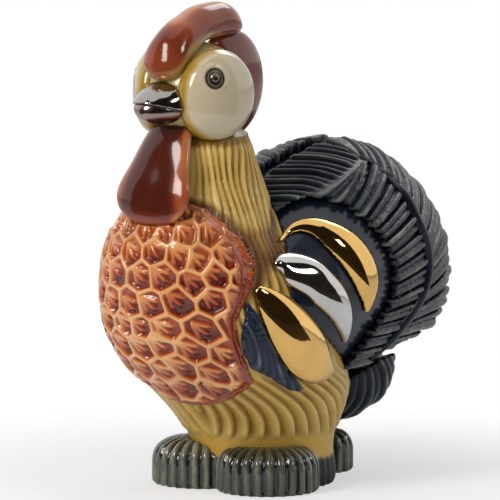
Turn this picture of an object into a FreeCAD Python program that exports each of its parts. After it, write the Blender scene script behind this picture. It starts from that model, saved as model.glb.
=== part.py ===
import FreeCAD, Part
import os
from math import cos, pi, radians, sin

import Sketcher
from FreeCAD import Placement, Rotation, Vector

# A glazed stoneware rooster, built the way a hand builder makes one: a thrown and hollow body,
# a hollow wing and tail mass luted on behind it, and every lobe, feather and foot pressed on
# as its own piece. Each piece is first made too deep, then cut back by what lies under it,
# so the two clay faces meet exactly.
#
# Millimetres. The bird looks along -Y, +Z is up, and x = 0 is its mirror plane.
# The origin is the middle of the resting face.

os.makedirs("parts", exist_ok=True)
doc = FreeCAD.newDocument("Rooster")
sheet = doc.addObject("Spreadsheet::Sheet", "sizes")
row_count = 0


def put(**sizes):
    """Writes each size into the sheet under its own name."""
    global row_count
    for name, value in sizes.items():
        row_count += 1
        sheet.set("A%d" % row_count, name)
        sheet.set("B%d" % row_count, str(value))
        sheet.setAlias("B%d" % row_count, name)


def size(name):
    return float(sheet.get(name))


# Body and neck: each ring has a height, a centre towards the tail, and a radius.
put(base_back=0.5, base_radius=14.2)
put(band_height=6.0, band_back=0.3, band_radius=14.4)
put(waist_height=10.5, waist_back=-0.3, waist_radius=15.1)
put(hip_height=19.1, hip_back=-3.2, hip_radius=19.3)
put(belly_height=28.2, belly_back=-10.2, belly_radius=22.1)
put(breast_height=36.9, breast_back=-15.1, breast_radius=22.0)
put(shoulder_height=45.6, shoulder_back=-18.8, shoulder_radius=19.7)
put(collar_height=53.6, collar_back=-20.4, collar_radius=16.8)
put(nape_height=60.3, nape_back=-19.4, nape_radius=13.6)
put(neck_height=67.0, neck_back=-18.9, neck_radius=11.0)
put(top_height=74.0, top_back=-19.0, top_radius=9.6)
put(wall=3.6, floor_thickness=4.5, drain_radius=3.0, drain_back=6.0, flue_radius=4.0)

# Wing and tail mass: each ring has a distance to the back, half width, half height and centre height.
put(root_back=-22.0, root_width=15.0, root_rise=8.0, root_height=41.0)
put(arm_back=-15.0, arm_width=22.0, arm_rise=15.0, arm_height=40.0)
put(wing_back=-5.0, wing_width=24.4, wing_rise=20.0, wing_height=40.5)
put(flank_back=5.0, flank_width=24.6, flank_rise=22.6, flank_height=41.5)
put(croup_back=15.0, croup_width=22.8, croup_rise=23.4, croup_height=43.2)
put(fan_back=25.0, fan_width=20.0, fan_rise=22.8, fan_height=44.0)
put(sickle_back=35.0, sickle_width=16.0, sickle_rise=20.2, sickle_height=42.8)
put(hem_back=44.0, hem_width=11.8, hem_rise=16.2, hem_height=40.5)
put(edge_back=50.0, edge_width=7.6, edge_rise=11.8, edge_height=38.3)
put(end_back=53.6, end_width=3.6, end_rise=6.4, end_height=37.2)
put(vane_thickness=1.6, barb_depth=0.8, barb_gap=0.8, barb_count=13)

# Head.
put(head_back=-21.8, head_height=82.5, head_wide=11.6, head_long=10.6, head_tall=10.3)
put(cheek_turn=15.0, cheek_reach=7.2, cheek_puff=5.0, cheek_long=9.2, cheek_tall=9.7)
put(eye_turn=30.0, eye_lift=4.0, eye_reach=10.7, eye_radius=2.4, eye_depth=1.3)
put(ball_radius=1.5, ball_depth=2.0)
put(beak_wide=5.9, beak_tall=4.4, beak_length=17.6, beak_root=8.0, beak_drop=1.0, beak_fall=1.1)
put(mouth_slope=16.0, mouth_height=81.9, lip_inset=0.35)

# Feet.
put(foot_side=8.3, foot_forward=8.6, foot_radius=10.4, foot_rise=9.2, foot_round=4.8)
put(heel_back=19.2, heel_radius=6.4, heel_rise=8.2, heel_round=3.4)
put(roll_radius=0.75, foot_rolls=28, heel_rolls=16)
put(rump_back=20.0, rump_height=21.2, rump_wide=12.5, rump_long=17.5, rump_tall=11.0)

# Comb and wattle.
put(comb_width=4.0, comb_depth=3.6, fin_width=3.0, fin_depth=10.8, fin_tall=11.2)
put(fin_back=10.8, fin_lift=0.4, wattle_width=8.5, wattle_depth=2.8)
# Breast panel and feathers.
put(panel_thickness=1.3)
put(feather_depth=2.2, plume_depth=1.9, rib_width=1.5, rib_depth=1.5, rib_raise=0.9)
put(edge_feather_width=4.8, edge_feather_depth=2.4)
doc.recompute()


def add_body(name):
    return doc.addObject("PartDesign::Body", name)


def origin_plane(body, role):
    return next(f for f in body.Origin.OriginFeatures if f.Role == role)


def circle_sketch(body, name, radius_cell, shrink="", across=None, along=None, up=None):
    """A circle in a level plane of the body, every size bound to the sheet."""
    sketch = body.newObject("Sketcher::SketchObject", name)
    sketch.AttachmentSupport = [(origin_plane(body, "XY_Plane"), "")]
    sketch.MapMode = "FlatFace"
    sketch.addGeometry(Part.Circle(Vector(0, 0, 0), Vector(0, 0, 1), size(radius_cell)), False)
    sketch.addConstraint(Sketcher.Constraint("Coincident", 0, 3, -1, 1))
    row = sketch.addConstraint(Sketcher.Constraint("Radius", 0, size(radius_cell)))
    sketch.setExpression("Constraints[%d]" % row, "sizes.%s%s" % (radius_cell, shrink))
    for axis, value in (("x", across), ("y", along), ("z", up)):
        if value:
            sketch.setExpression(".AttachmentOffset.Base." + axis, value)
    return sketch


RINGS = ["base", "band", "waist", "hip", "belly", "breast", "shoulder", "collar", "nape", "neck", "top"]


def make_torso():
    """Solid form of body and neck: a loft through level rings."""
    body = add_body("torso_form")
    sketches = []
    for ring in RINGS:
        up = None if ring == "base" else "sizes.%s_height" % ring
        sketches.append(circle_sketch(body, ring + "_ring", ring + "_radius", along="sizes.%s_back" % ring, up=up))
    loft = body.newObject("PartDesign::AdditiveLoft", "torso_loft")
    loft.Profile = sketches[0]
    loft.Sections = sketches[1:]
    body.Tip = loft
    return body


def make_cavity():
    """The hollow inside body and neck, open at the neck where the head is set on."""
    body = add_body("body_cavity")
    sketches = []
    for ring in RINGS:
        up = "sizes.floor_thickness" if ring == "base" else "sizes.%s_height" % ring
        if ring == "band":
            continue
        sketches.append(circle_sketch(body, ring + "_bore", ring + "_radius", shrink=" - sizes.wall",
                                      along="sizes.%s_back" % ring, up=up))
    loft = body.newObject("PartDesign::AdditiveLoft", "cavity_loft")
    loft.Profile = sketches[0]
    loft.Sections = sketches[1:]
    body.Tip = loft
    return body


def feature(name, shape):
    made = doc.addObject("Part::Feature", name)
    made.Shape = shape
    made.Placement = Placement()
    return made


def bind(made, **expressions):
    """Binds properties, with __ standing for a dot in a property path."""
    for path, text in expressions.items():
        made.setExpression(path.replace("__", "."), text)
    return made


def cut(name, base, tool):
    made = doc.addObject("Part::Cut", name)
    made.Base = base
    made.Tool = tool
    return made


def mesh_volume(shape):
    """Volume inside a coarse mesh of the shape, which shows a face that meshes badly."""
    points, triangles = shape.tessellate(0.08)
    return sum(points[a].dot(points[b].cross(points[c])) for a, b, c in triangles) / 6


def sound(shape):
    if shape.isNull() or not shape.isValid() or len(shape.Solids) != 1:
        return False
    return abs(mesh_volume(shape) - shape.Volume) < 0.04 * shape.Volume


def try_cut(shape, tools, slack):
    """The largest solid left after a cut, or None where the cut gives no sound one."""
    try:
        made = shape.cut(tools, slack)
    except (ValueError, Part.OCCError):
        return None
    if len(made.Solids) > 1:
        made = max(made.Solids, key=lambda part: part.Volume)
    return made.Solids[0] if sound(made) else None


def cut_back(shape, *tools):
    """Cuts a form by what lies under it, and steps to a looser match where the exact one fails."""
    for slack in (0.0, 0.0005, 0.002):
        made = shape
        for tool in tools:
            if made is not None:
                made = try_cut(made, [tool], slack)
        if made is not None:
            return made
        made = try_cut(shape, list(tools), slack)
        if made is not None:
            return made
    raise ValueError("a form could not be cut back by its ground")


def fuse(name, *members):
    made = doc.addObject("Part::MultiFuse", name)
    made.Shapes = list(members)
    return made


def mirrored(name, source):
    """The same piece on the bird's right side."""
    made = doc.addObject("Part::Mirroring", name)
    made.Source = source
    made.Normal = Vector(1, 0, 0)
    made.Base = Vector(0, 0, 0)
    return made


def ellipsoid(name, across, along, up):
    """An ellipsoid whose three half lengths are named cells."""
    made = doc.addObject("Part::Ellipsoid", name)
    bind(made, Radius2="sizes." + across, Radius3="sizes." + along, Radius1="sizes." + up)
    return made


def oval(centre, side, lift, points=8):
    """A smooth closed ring about a centre, reaching out by side one way and by lift the other."""
    turns = [2 * pi * index / points for index in range(points)]
    curve = Part.BSplineCurve()
    curve.interpolate([centre + side * cos(turn) + lift * sin(turn) for turn in turns], PeriodicFlag=True)
    return Part.Wire(curve.toShape())


def loft(rings):
    """A smooth solid through a run of rings, closed flat at both ends."""
    return Part.makeLoft(list(rings), True, False)


TAIL_RINGS = ["root", "arm", "wing", "flank", "croup", "fan", "sickle", "hem", "edge", "end"]


def make_tail(name, grow):
    """The wing and tail mass, its skin when grow is above nought, its hollow when below."""
    rings = []
    for ring in TAIL_RINGS if grow >= 0 else TAIL_RINGS[:-1]:
        back = size(ring + "_back")
        if ring == TAIL_RINGS[-1]:
            back += grow
        centre = Vector(0, back, size(ring + "_height"))
        side = Vector(size(ring + "_width") + grow, 0, 0)
        rise = Vector(0, 0, size(ring + "_rise") + grow)
        rings.append(oval(centre, -rise, side))
    return feature(name, loft(rings))


def land(ground, start, heading):
    """Where a straight line from outside first meets the ground, and the ground's normal there."""
    reach = Part.makeLine(start, start + heading)
    hits = reach.common(ground)
    spots = [v.Point for v in hits.Vertexes]
    if not spots:
        raise ValueError("no ground under %s" % start)
    first = min(spots, key=lambda p: (p - start).Length)
    above = first - Vector(heading).normalize() * size("vane_thickness") * 2
    near = Part.Vertex(above).distToShape(ground)[1][0][1]
    return near, (above - near).normalize()


def side_spots(ground, places):
    """Ground points under places seen from the bird's left side, as distance back and height."""
    span = ground.BoundBox.XMax * 2
    return [land(ground, Vector(span, back, up), Vector(-span, 0, 0)) for back, up in places]


def petal(spots, widths, depth, raised=0.0):
    """A lens-shaped lobe over a run of ground points, blunt at both ends."""
    centres = [spot + normal * raised for spot, normal in spots]
    rings = []
    broadest = max(widths)
    last = len(spots) - 1
    for index, half in enumerate(widths):
        tangent = (centres[min(index + 1, last)] - centres[max(index - 1, 0)]).normalize()
        normal = spots[index][1]
        side = tangent.cross(normal).normalize()
        lift = side.cross(tangent).normalize()
        thick = depth * (half / broadest) ** 0.6
        rings.append(oval(centres[index], side * half, lift * thick))
    return loft(rings)


# The ground everything sits on.
torso_form = make_torso()
body_cavity = make_cavity()
tail_form = make_tail("tail_form", 0.0)
tail_cavity = make_tail("tail_cavity", -size("wall"))
tail_skin = make_tail("tail_skin", size("vane_thickness"))
tail_mid = make_tail("tail_mid", size("vane_thickness") - size("barb_depth"))
doc.recompute()
ground_form = fuse("ground_form", torso_form, tail_form)
doc.recompute()
ground = ground_form.Shape

# Body shell: hollow, with a drain in its floor and a flue into the tail, both needed in the kiln.
drain = doc.addObject("Part::Cylinder", "drain")
bind(drain, Radius="sizes.drain_radius", Height="sizes.floor_thickness * 2",
     Placement__Base__y="sizes.drain_back", Placement__Base__z="-sizes.floor_thickness / 2")
flue = doc.addObject("Part::Cylinder", "flue")
flue.Placement = Placement(Vector(0, 0, 0), Rotation(Vector(1, 0, 0), -90))
bind(flue, Radius="sizes.flue_radius", Height="sizes.breast_radius * 2",
     Placement__Base__y="sizes.breast_back", Placement__Base__z="sizes.breast_height")
body_shell = cut("body_shell", torso_form, fuse("body_hollows", body_cavity, drain, flue))
tail_shell = cut("tail_shell", tail_form, fuse("tail_hollows", torso_form, tail_cavity))

# Head with its two cheeks, cut where they meet.
head_form = bind(ellipsoid("head_form", "head_wide", "head_long", "head_tall"),
                 Placement__Base__y="sizes.head_back", Placement__Base__z="sizes.head_height")
head = cut("head", head_form, torso_form)
cheek_form = ellipsoid("cheek_form", "cheek_puff", "cheek_long", "cheek_tall")
cheek_form.Placement = Placement(Vector(0, 0, 0), Rotation(Vector(0, 0, 1), -size("cheek_turn")))
bind(cheek_form, Placement__Base__x="sizes.cheek_reach * cos(sizes.cheek_turn * 1deg)",
     Placement__Base__y="sizes.head_back - sizes.cheek_reach * sin(sizes.cheek_turn * 1deg)",
     Placement__Base__z="sizes.head_height")
head_base = fuse("head_base", head_form, torso_form)
left_cheek = cut("left_cheek", cheek_form, head_base)
right_cheek_form = mirrored("right_cheek_form", cheek_form)
head_ground = fuse("head_ground", head_form, torso_form, cheek_form, right_cheek_form)

# Eyes: a low ring of clay with the ball pressed into it.
eye_rim_form = ellipsoid("eye_rim_form", "eye_depth", "eye_radius", "eye_radius")
ball_form = ellipsoid("ball_form", "ball_depth", "ball_radius", "ball_radius")
for form in (eye_rim_form, ball_form):
    form.Placement = Placement(Vector(0, 0, 0), Rotation(Vector(0, 0, 1), -size("eye_turn")))
    bind(form, Placement__Base__x="sizes.eye_reach * cos(sizes.eye_turn * 1deg)",
         Placement__Base__y="sizes.head_back - sizes.eye_reach * sin(sizes.eye_turn * 1deg)",
         Placement__Base__z="sizes.head_height + sizes.eye_lift")
left_eye_rim = cut("left_eye_rim", eye_rim_form, head_ground)
left_eye_ball = cut("left_eye_ball", ball_form, fuse("eye_ground", eye_rim_form, head_ground))
doc.recompute()


def make_beak():
    """A blunt rounded cone, then split along the mouth into two mandibles."""
    front = size("head_back") - size("beak_length")
    start = size("head_back") - size("beak_root")
    middle = size("head_height") - size("beak_drop")
    rings = []
    for along, swell in ((0.0, 1.0), (0.38, 0.94), (0.62, 0.78), (0.82, 0.56), (0.95, 0.3), (1.0, 0.1)):
        centre = Vector(0, start + (front - start) * along, middle - size("beak_fall") * along)
        side = Vector(size("beak_wide") * swell, 0, 0)
        rings.append(oval(centre, side, Vector(0, 0, size("beak_tall") * swell)))
    whole = loft(rings)
    reach = size("beak_length") * 2
    block = Part.makeBox(reach, reach, reach, Vector(-reach / 2, -reach / 2, 0))
    block.rotate(Vector(0, 0, 0), Vector(1, 0, 0), -size("mouth_slope"))
    block.translate(Vector(0, front, size("mouth_height")))
    lips = []
    for along, swell in ((0.0, 1.0), (0.4, 0.93), (0.65, 0.74), (0.84, 0.46), (0.94, 0.14)):
        centre = Vector(0, start + (front - start) * along, middle - size("beak_fall") * along - size("lip_inset"))
        side = Vector((size("beak_wide") - size("lip_inset")) * swell, 0, 0)
        lips.append(oval(centre, side, Vector(0, 0, (size("beak_tall") - size("lip_inset")) * swell)))
    small = loft(lips)
    return whole.common(block), small.cut(block)


upper_form, lower_form = make_beak()
upper_beak = cut("upper_beak", feature("upper_beak_form", upper_form), head_ground)
lower_beak = cut("lower_beak", feature("lower_beak_form", lower_form), head_ground)
doc.recompute()


def crest(places, widths, depths):
    """A lobe on the mirror plane: rings square to a run of (back, height) places."""
    centres = [Vector(0, back, up) for back, up in places]
    rings = []
    last = len(centres) - 1
    for index, centre in enumerate(centres):
        tangent = (centres[min(index + 1, last)] - centres[max(index - 1, 0)]).normalize()
        lift = Vector(1, 0, 0).cross(tangent)
        rings.append(oval(centre, Vector(widths[index], 0, 0), lift * depths[index]))
    return loft(rings)


def from_head(places):
    """Places measured from the middle of the head."""
    return [(size("head_back") + back, size("head_height") + up) for back, up in places]


# Comb in two lobes, and the single wattle under the beak.
comb_share = (0.45, 0.85, 0.95, 1.0, 1.0, 1.0, 0.9, 0.6, 0.2)
comb_body = crest(from_head([(-11.3, 3.6), (-11.5, 6.6), (-9.2, 9.3), (-4.7, 11.8), (0.8, 13.7),
                             (4.8, 14.1), (9.0, 13.7), (12.2, 12.6), (13.4, 12.0)]),
                  [size("comb_width") * k for k in comb_share],
                  [size("comb_depth") * k for k in (0.45, 0.85, 0.95, 0.95, 0.98, 1.0, 0.9, 0.55, 0.15)])
front_comb = feature("front_comb", cut_back(comb_body, head_form.Shape))
fin_form = bind(ellipsoid("fin_form", "fin_width", "fin_depth", "fin_tall"),
                Placement__Base__y="sizes.head_back + sizes.fin_back",
                Placement__Base__z="sizes.head_height + sizes.fin_lift")
rear_comb = cut("rear_comb", fin_form, fuse("fin_ground", head_ground, front_comb))
wattle_body = crest(from_head([(-5.0, -4.5), (-7.2, -7.2), (-9.2, -11.0), (-11.4, -15.4),
                               (-13.2, -20.0), (-14.0, -23.6), (-14.2, -25.9)]),
                    [size("wattle_width") * k for k in (0.4, 0.56, 0.7, 0.86, 1.0, 0.82, 0.3)],
                    [size("wattle_depth") * k for k in (0.6, 0.8, 0.95, 1.0, 1.0, 0.75, 0.2)])
wattle_ground = fuse("wattle_ground", head_ground, upper_beak, lower_beak)
wattle = cut("wattle", feature("wattle_form", wattle_body), wattle_ground)
doc.recompute()


def prism(outline, start, heading):
    """A solid standing on a closed outline of points, drawn out along a heading."""
    points = [start(a, b) for a, b in outline]
    face = Part.Face(Part.makePolygon(points + [points[0]]))
    return face.extrude(heading)


# Breast: a raised panel of clay, later carved with scales.
PANEL_EDGE = [(0.0, 18.4), (5.2, 18.8), (9.7, 20.4), (13.6, 22.6), (15.8, 24.4), (16.7, 28.7), (17.0, 34.0),
              (17.2, 38.0), (18.3, 41.5), (18.7, 45.0), (18.1, 49.3), (15.7, 54.2), (12.8, 57.5),
              (9.4, 60.2), (5.0, 61.6), (0.0, 62.2)]


def make_panel():
    """The panel: a skin over the body, inside an outline seen from the front."""
    rings = []
    for ring in RINGS[2:]:
        centre = Vector(0, size(ring + "_back"), size(ring + "_height"))
        radius = size(ring + "_radius") + size("panel_thickness")
        rings.append(Part.Wire(Part.makeCircle(radius, centre, Vector(0, 0, 1))))
    skin = loft(rings)
    mirror = [(-x, z) for x, z in reversed(PANEL_EDGE[1:-1])]
    reach = size("belly_radius") * 3
    middle = size("shoulder_back")
    front = prism(PANEL_EDGE + mirror, lambda x, z: Vector(x, middle - reach / 2, z), Vector(0, reach / 2, 0))
    return skin.common(front)


breast_form = feature("breast_form", make_panel())
breast_panel = cut("breast_panel", breast_form, fuse("panel_ground", torso_form, wattle))
doc.recompute()

# Wing feathers, each as its run of (back, height) places seen from the side, and half widths.
FEATHERS = {
    "upper_gold": ([(-13.6, 53.6), (-10.6, 55.2), (-7.6, 55.9), (-5.1, 55.4), (-3.1, 53.9), (-0.2, 50.7),
                    (1.9, 46.9), (3.4, 42.4), (3.8, 38.8), (4.0, 35.8)],
                   [0.4, 1.0, 1.8, 2.8, 3.7, 4.4, 4.3, 3.5, 2.0, 0.5]),
    "platinum": ([(-19.4, 49.0), (-17.6, 49.1), (-15.9, 48.8), (-13.0, 46.9), (-10.2, 43.9), (-7.0, 39.9),
                  (-4.1, 35.7), (-1.9, 32.2), (-0.4, 29.3)],
                 [0.5, 2.0, 3.2, 4.2, 4.1, 3.5, 2.6, 1.6, 0.5]),
    "lower_gold": ([(-26.2, 45.0), (-24.4, 42.6), (-21.6, 39.2), (-18.3, 35.3), (-14.6, 31.2), (-10.8, 27.9),
                    (-7.2, 26.0), (-3.2, 25.6)],
                   [0.7, 2.8, 4.5, 5.4, 5.7, 5.1, 3.6, 0.9]),
    "plume": ([(-29.0, 41.6), (-28.0, 38.6), (-26.4, 34.8), (-24.1, 30.2), (-20.4, 26.2), (-16.6, 23.0),
               (-12.0, 21.4)],
              [0.4, 1.3, 1.9, 2.0, 1.8, 1.5, 0.4]),
}

nodes = [body_shell, tail_shell, head, left_cheek, left_eye_rim, left_eye_ball, upper_beak, lower_beak,
         front_comb, rear_comb, wattle, breast_panel]
pairs = [("right_cheek", left_cheek), ("right_eye_rim", left_eye_rim), ("right_eye_ball", left_eye_ball)]
for kind, (places, widths) in FEATHERS.items():
    depth = size("plume_depth" if kind == "plume" else "feather_depth")
    form = petal(side_spots(ground, places), widths, depth)
    tools = [tail_form.Shape, torso_form.Shape]
    if kind in ("plume", "lower_gold"):
        tools.append(breast_panel.Shape)
    name = "wing_plume" if kind == "plume" else kind + "_feather"
    piece = feature("left_" + name, cut_back(form, *tools))
    nodes.append(piece)
    pairs.append(("right_" + name, piece))
doc.recompute()

# Tail: on each side a sickle feather, as an inner vane, a rib and an outer vane.
RIB = [(18.2, 65.4), (19.6, 64.9), (22.6, 62.8), (24.0, 58.6), (25.8, 54.2), (28.2, 49.6), (30.4, 45.2),
       (30.8, 40.8), (28.8, 36.6), (24.8, 32.8), (20.2, 29.0), (16.4, 25.8), (14.4, 23.6)]
INNER = [(-11.0, 57.0), (-5.2, 59.3), (-1.4, 60.0), (2.2, 59.6), (5.1, 57.9), (7.4, 55.4), (9.6, 52.8),
         (11.6, 49.2), (13.2, 45.8), (13.6, 42.2), (12.8, 38.0), (10.4, 35.2), (7.6, 32.4), (5.2, 28.0),
         (3.6, 24.0)]
TOP = [(-12.4, 70.0), (20.6, 70.0)]
BACK = [(21.6, 70.0), (49.0, 70.0), (49.6, 20.0), (14.0, 16.0)]


def along(path, share):
    """A point part of the way along an open run of points."""
    lengths = [((b[0] - a[0]) ** 2 + (b[1] - a[1]) ** 2) ** 0.5 for a, b in zip(path, path[1:])]
    left = share * sum(lengths)
    for (a, b), length in zip(zip(path, path[1:]), lengths):
        if left <= length:
            return (a[0] + (b[0] - a[0]) * left / length, a[1] + (b[1] - a[1]) * left / length)
        left -= length
    return path[-1]


def groove(a, b):
    """A thin upright slab between two side-view points, drawn out to the left."""
    width = size("barb_gap") / 2
    run = Vector(0, b[0] - a[0], b[1] - a[1]).normalize()
    off = Vector(1, 0, 0).cross(run) * width
    p, q = Vector(0, *a), Vector(0, *b)
    face = Part.Face(Part.makePolygon([p - off, q - off, q + off, p + off, p - off]))
    return face.extrude(Vector(size("wing_width") * 2, 0, 0))


def make_vane(outline, barbs, neighbours):
    """A skin patch over the tail mass, with its barbs parted by shallow grooves."""
    patch = prism(outline, lambda back, up: Vector(2, back, up), Vector(size("wing_width") * 2, 0, 0))
    slab = patch.common(tail_skin.Shape).cut(tail_form.Shape)
    slab = cut_back(slab, *[neighbour.Shape for neighbour in neighbours])
    slots = [groove(a, b).cut(tail_mid.Shape) for a, b in barbs]
    slots = [slot for slot in slots if not slot.isNull() and slot.Solids]
    carved = try_cut(slab, slots, 0.0)
    if carved is not None:
        return carved
    for slot in slots:
        carved = try_cut(slab, [slot], 0.0)
        if carved is None:
            print("one barb groove left out")
        else:
            slab = carved
    return slab


RIB_RUN = [(21.2, 63.4), (23.8, 59.4), (26.4, 54.0), (29.0, 49.0), (30.6, 44.0), (30.0, 39.2), (27.0, 34.8),
           (22.2, 30.8), (17.6, 27.0), (14.9, 24.4)]
rib_spots = side_spots(ground, RIB_RUN)
rib_widths = [size("rib_width") * k for k in (0.6, 0.95, 1.0, 1.0, 1.0, 1.0, 1.0, 1.0, 0.9, 0.5)]
rib_form = feature("rib_form", petal(rib_spots, rib_widths, size("rib_depth"), size("rib_raise")))
left_tail_rib = feature("left_tail_rib", cut_back(rib_form.Shape, tail_form.Shape, torso_form.Shape))

steps = int(size("barb_count"))
inner_barbs = []
outer_barbs = []
for index in range(1, steps):
    share = index / steps
    inner_barbs.append((along(INNER, 0.25 + 0.72 * share), along(RIB, share - 0.04)))
    low = along(RIB, share)
    outer_barbs.append((low, (low[0] + 26, low[1] + 20 - 26 * share)))

# Gold feather down the middle of the tail's back edge.
EDGE_RUN = [(-9.4, 24.8), (-5.8, 26.6), (-2.8, 29.6), (-1.0, 33.6), (-0.4, 38.0), (-1.0, 43.0), (-3.0, 48.0),
            (-6.0, 52.2), (-9.0, 55.0)]
edge_body = crest([(size("end_back") + back, up) for back, up in EDGE_RUN],
                  [size("edge_feather_width") * k for k in (0.15, 0.5, 0.8, 0.95, 1.0, 0.95, 0.75, 0.5, 0.15)],
                  [size("edge_feather_depth") * k for k in (0.2, 0.6, 0.9, 1.0, 1.0, 1.0, 0.9, 0.6, 0.2)])
edge_form = feature("edge_feather_form", edge_body)
edge_feather = cut("edge_feather", edge_form, tail_form)
neighbours = (rib_form, edge_form, torso_form)
left_inner_vane = feature("left_inner_vane", make_vane(
    INNER + list(reversed(RIB)) + [(17.0, 70.0), (-12.4, 70.0)], inner_barbs, neighbours))
left_outer_vane = feature("left_outer_vane", make_vane(
    RIB + [(20.0, 25.6), (26.0, 26.4), (34.0, 26.2), (42.0, 27.6), (48.6, 30.4), (49.4, 70.0), (18.2, 70.0)], outer_barbs, neighbours))

# Under the tail a pair of short plumes, halves of one rounded mass.
rump_form = bind(ellipsoid("rump_form", "rump_wide", "rump_long", "rump_tall"),
                 Placement__Base__y="sizes.rump_back", Placement__Base__z="sizes.rump_height")
right_half = doc.addObject("Part::Box", "right_half")
bind(right_half, Length="sizes.rump_wide * 2", Width="sizes.rump_long * 4", Height="sizes.rump_tall * 4",
     Placement__Base__x="-sizes.rump_wide * 2", Placement__Base__y="sizes.rump_back - sizes.rump_long * 2",
     Placement__Base__z="sizes.rump_height - sizes.rump_tall * 2")
rump_tool = fuse("rump_tool", torso_form, tail_skin, right_half)
left_lower_plume = cut("left_lower_plume", rump_form, rump_tool)
doc.recompute()


def make_foot(name, radius, rise, rounding, rolls, side=None, forward=None):
    """A drum with a rounded top edge and upright rolls carved round it."""
    body = add_body(name + "_form")
    disc = circle_sketch(body, name + "_disc", radius)
    pad = body.newObject("PartDesign::Pad", name + "_pad")
    pad.Profile = disc
    pad.setExpression("Length", "sizes." + rise)
    doc.recompute()
    crown = max(range(len(pad.Shape.Edges)), key=lambda i: pad.Shape.Edges[i].CenterOfMass.z)
    edge = body.newObject("PartDesign::Fillet", name + "_edge")
    edge.Base = (pad, ["Edge%d" % (crown + 1)])
    edge.setExpression("Radius", "sizes." + rounding)
    doc.recompute()
    bite = circle_sketch(body, name + "_bite", "roll_radius", across="sizes.%s + sizes.roll_radius * 0.2" % radius)
    pocket = body.newObject("PartDesign::Pocket", name + "_roll")
    pocket.Profile = bite
    pocket.Type = "ThroughAll"
    pocket.Reversed = True
    doc.recompute()
    ring = body.newObject("PartDesign::PolarPattern", name + "_rolls")
    ring.Originals = [pocket]
    ring.Axis = (disc, ["N_Axis"])
    ring.Angle = 360
    ring.setExpression("Occurrences", "sizes." + rolls)
    body.Tip = ring
    if side:
        body.setExpression(".Placement.Base.x", side)
    if forward:
        body.setExpression(".Placement.Base.y", forward)
    doc.recompute()
    if ring.Shape.Volume >= edge.Shape.Volume:
        raise ValueError("the rolls of %s were not cut" % name)
    return body


foot_form = make_foot("foot", "foot_radius", "foot_rise", "foot_round", "foot_rolls",
                      side="sizes.foot_side", forward="-sizes.foot_forward")
heel_form = make_foot("heel", "heel_radius", "heel_rise", "heel_round", "heel_rolls",
                      forward="sizes.heel_back")
other_side = doc.addObject("Part::Box", "other_side")
bind(other_side, Length="sizes.foot_radius * 2", Width="sizes.foot_radius * 4", Height="sizes.foot_rise * 2",
     Placement__Base__x="-sizes.foot_radius * 2", Placement__Base__y="-sizes.foot_forward - sizes.foot_radius * 2",
     Placement__Base__z="-sizes.foot_rise / 2")
doc.recompute()
left_foot = feature("left_foot", cut_back(foot_form.Shape, torso_form.Shape, other_side.Shape))
heel = cut("heel", heel_form, fuse("heel_tool", torso_form, rump_form))
doc.recompute()

nodes += [left_tail_rib, left_inner_vane, left_outer_vane, edge_feather, left_lower_plume, left_foot, heel]
pairs += [("right_tail_rib", left_tail_rib), ("right_inner_vane", left_inner_vane),
          ("right_outer_vane", left_outer_vane), ("right_lower_plume", left_lower_plume),
          ("right_foot", left_foot)]
for name, source in pairs:
    nodes.append(mirrored(name, source))
doc.recompute()

for item in doc.Objects:
    if "Invalid" in item.State or "Error" in item.State:
        raise ValueError("%s did not build" % item.Name)
for node in nodes:
    shape = node.Shape
    if shape.isNull() or not shape.isValid():
        raise ValueError("%s has no valid shape" % node.Label)
    print(node.Label, "solids", len(shape.Solids), "volume %.1f" % shape.Volume)
for node in nodes:
    node.Shape.exportStep("parts/%s.step" % node.Label)
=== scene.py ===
# %% [markdown]
# # A glazed rooster, dressed over its clay forms
# The real bird is cast in clay, carved, glazed in several colours and last brushed with gold and
# platinum. Its solid forms come from the CAD frame and are never moved. This lesson copies each form,
# carves the copy finely and then glazes it, so that looks can change while the solids stay as they are.

# %% Load the clay forms
import math
import bpy
import numpy as np
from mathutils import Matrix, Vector


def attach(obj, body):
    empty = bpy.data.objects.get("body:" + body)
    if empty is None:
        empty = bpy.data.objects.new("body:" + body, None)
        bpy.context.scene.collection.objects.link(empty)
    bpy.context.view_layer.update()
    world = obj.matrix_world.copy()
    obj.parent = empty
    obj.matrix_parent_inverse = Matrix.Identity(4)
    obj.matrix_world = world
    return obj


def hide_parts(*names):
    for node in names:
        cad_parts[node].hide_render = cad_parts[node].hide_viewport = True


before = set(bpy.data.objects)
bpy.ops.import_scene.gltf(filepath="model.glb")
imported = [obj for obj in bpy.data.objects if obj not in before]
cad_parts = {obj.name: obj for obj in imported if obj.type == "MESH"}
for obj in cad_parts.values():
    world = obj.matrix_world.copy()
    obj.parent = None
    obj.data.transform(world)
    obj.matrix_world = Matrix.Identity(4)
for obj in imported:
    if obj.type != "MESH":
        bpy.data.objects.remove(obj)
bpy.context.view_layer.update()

MM = 0.001

# %% [markdown]
# The camera comes first, so that every look after it is judged from where the photographer stood: in
# front of the bird, a little to its left and just above it. A near camera would swell the beak and
# shrink the tail. A far one with a long lens keeps their proportions true.

# %% Camera
turn, rise = math.radians(39), math.radians(8)
stand_back = 3.0
right = Vector((math.cos(turn), math.sin(turn), 0))
back = Vector((math.sin(turn) * math.cos(rise), -math.cos(turn) * math.cos(rise), math.sin(rise)))
up = back.cross(right)
aim = right * (-2.45 * MM) + up * (47.2 * MM)
scene = bpy.context.scene
camera = bpy.data.objects.new("camera", bpy.data.cameras.new("camera"))
scene.collection.objects.link(camera)
scene.camera = camera
camera.data.sensor_width = 36
camera.data.lens = 1056
camera.location = aim + back * stand_back
camera.rotation_mode = "QUATERNION"
camera.rotation_quaternion = (-back).to_track_quat("-Z", "Y")
camera.data.clip_start, camera.data.clip_end = 0.05, 20
print("camera looks at", [round(v / MM, 1) for v in aim])

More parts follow.
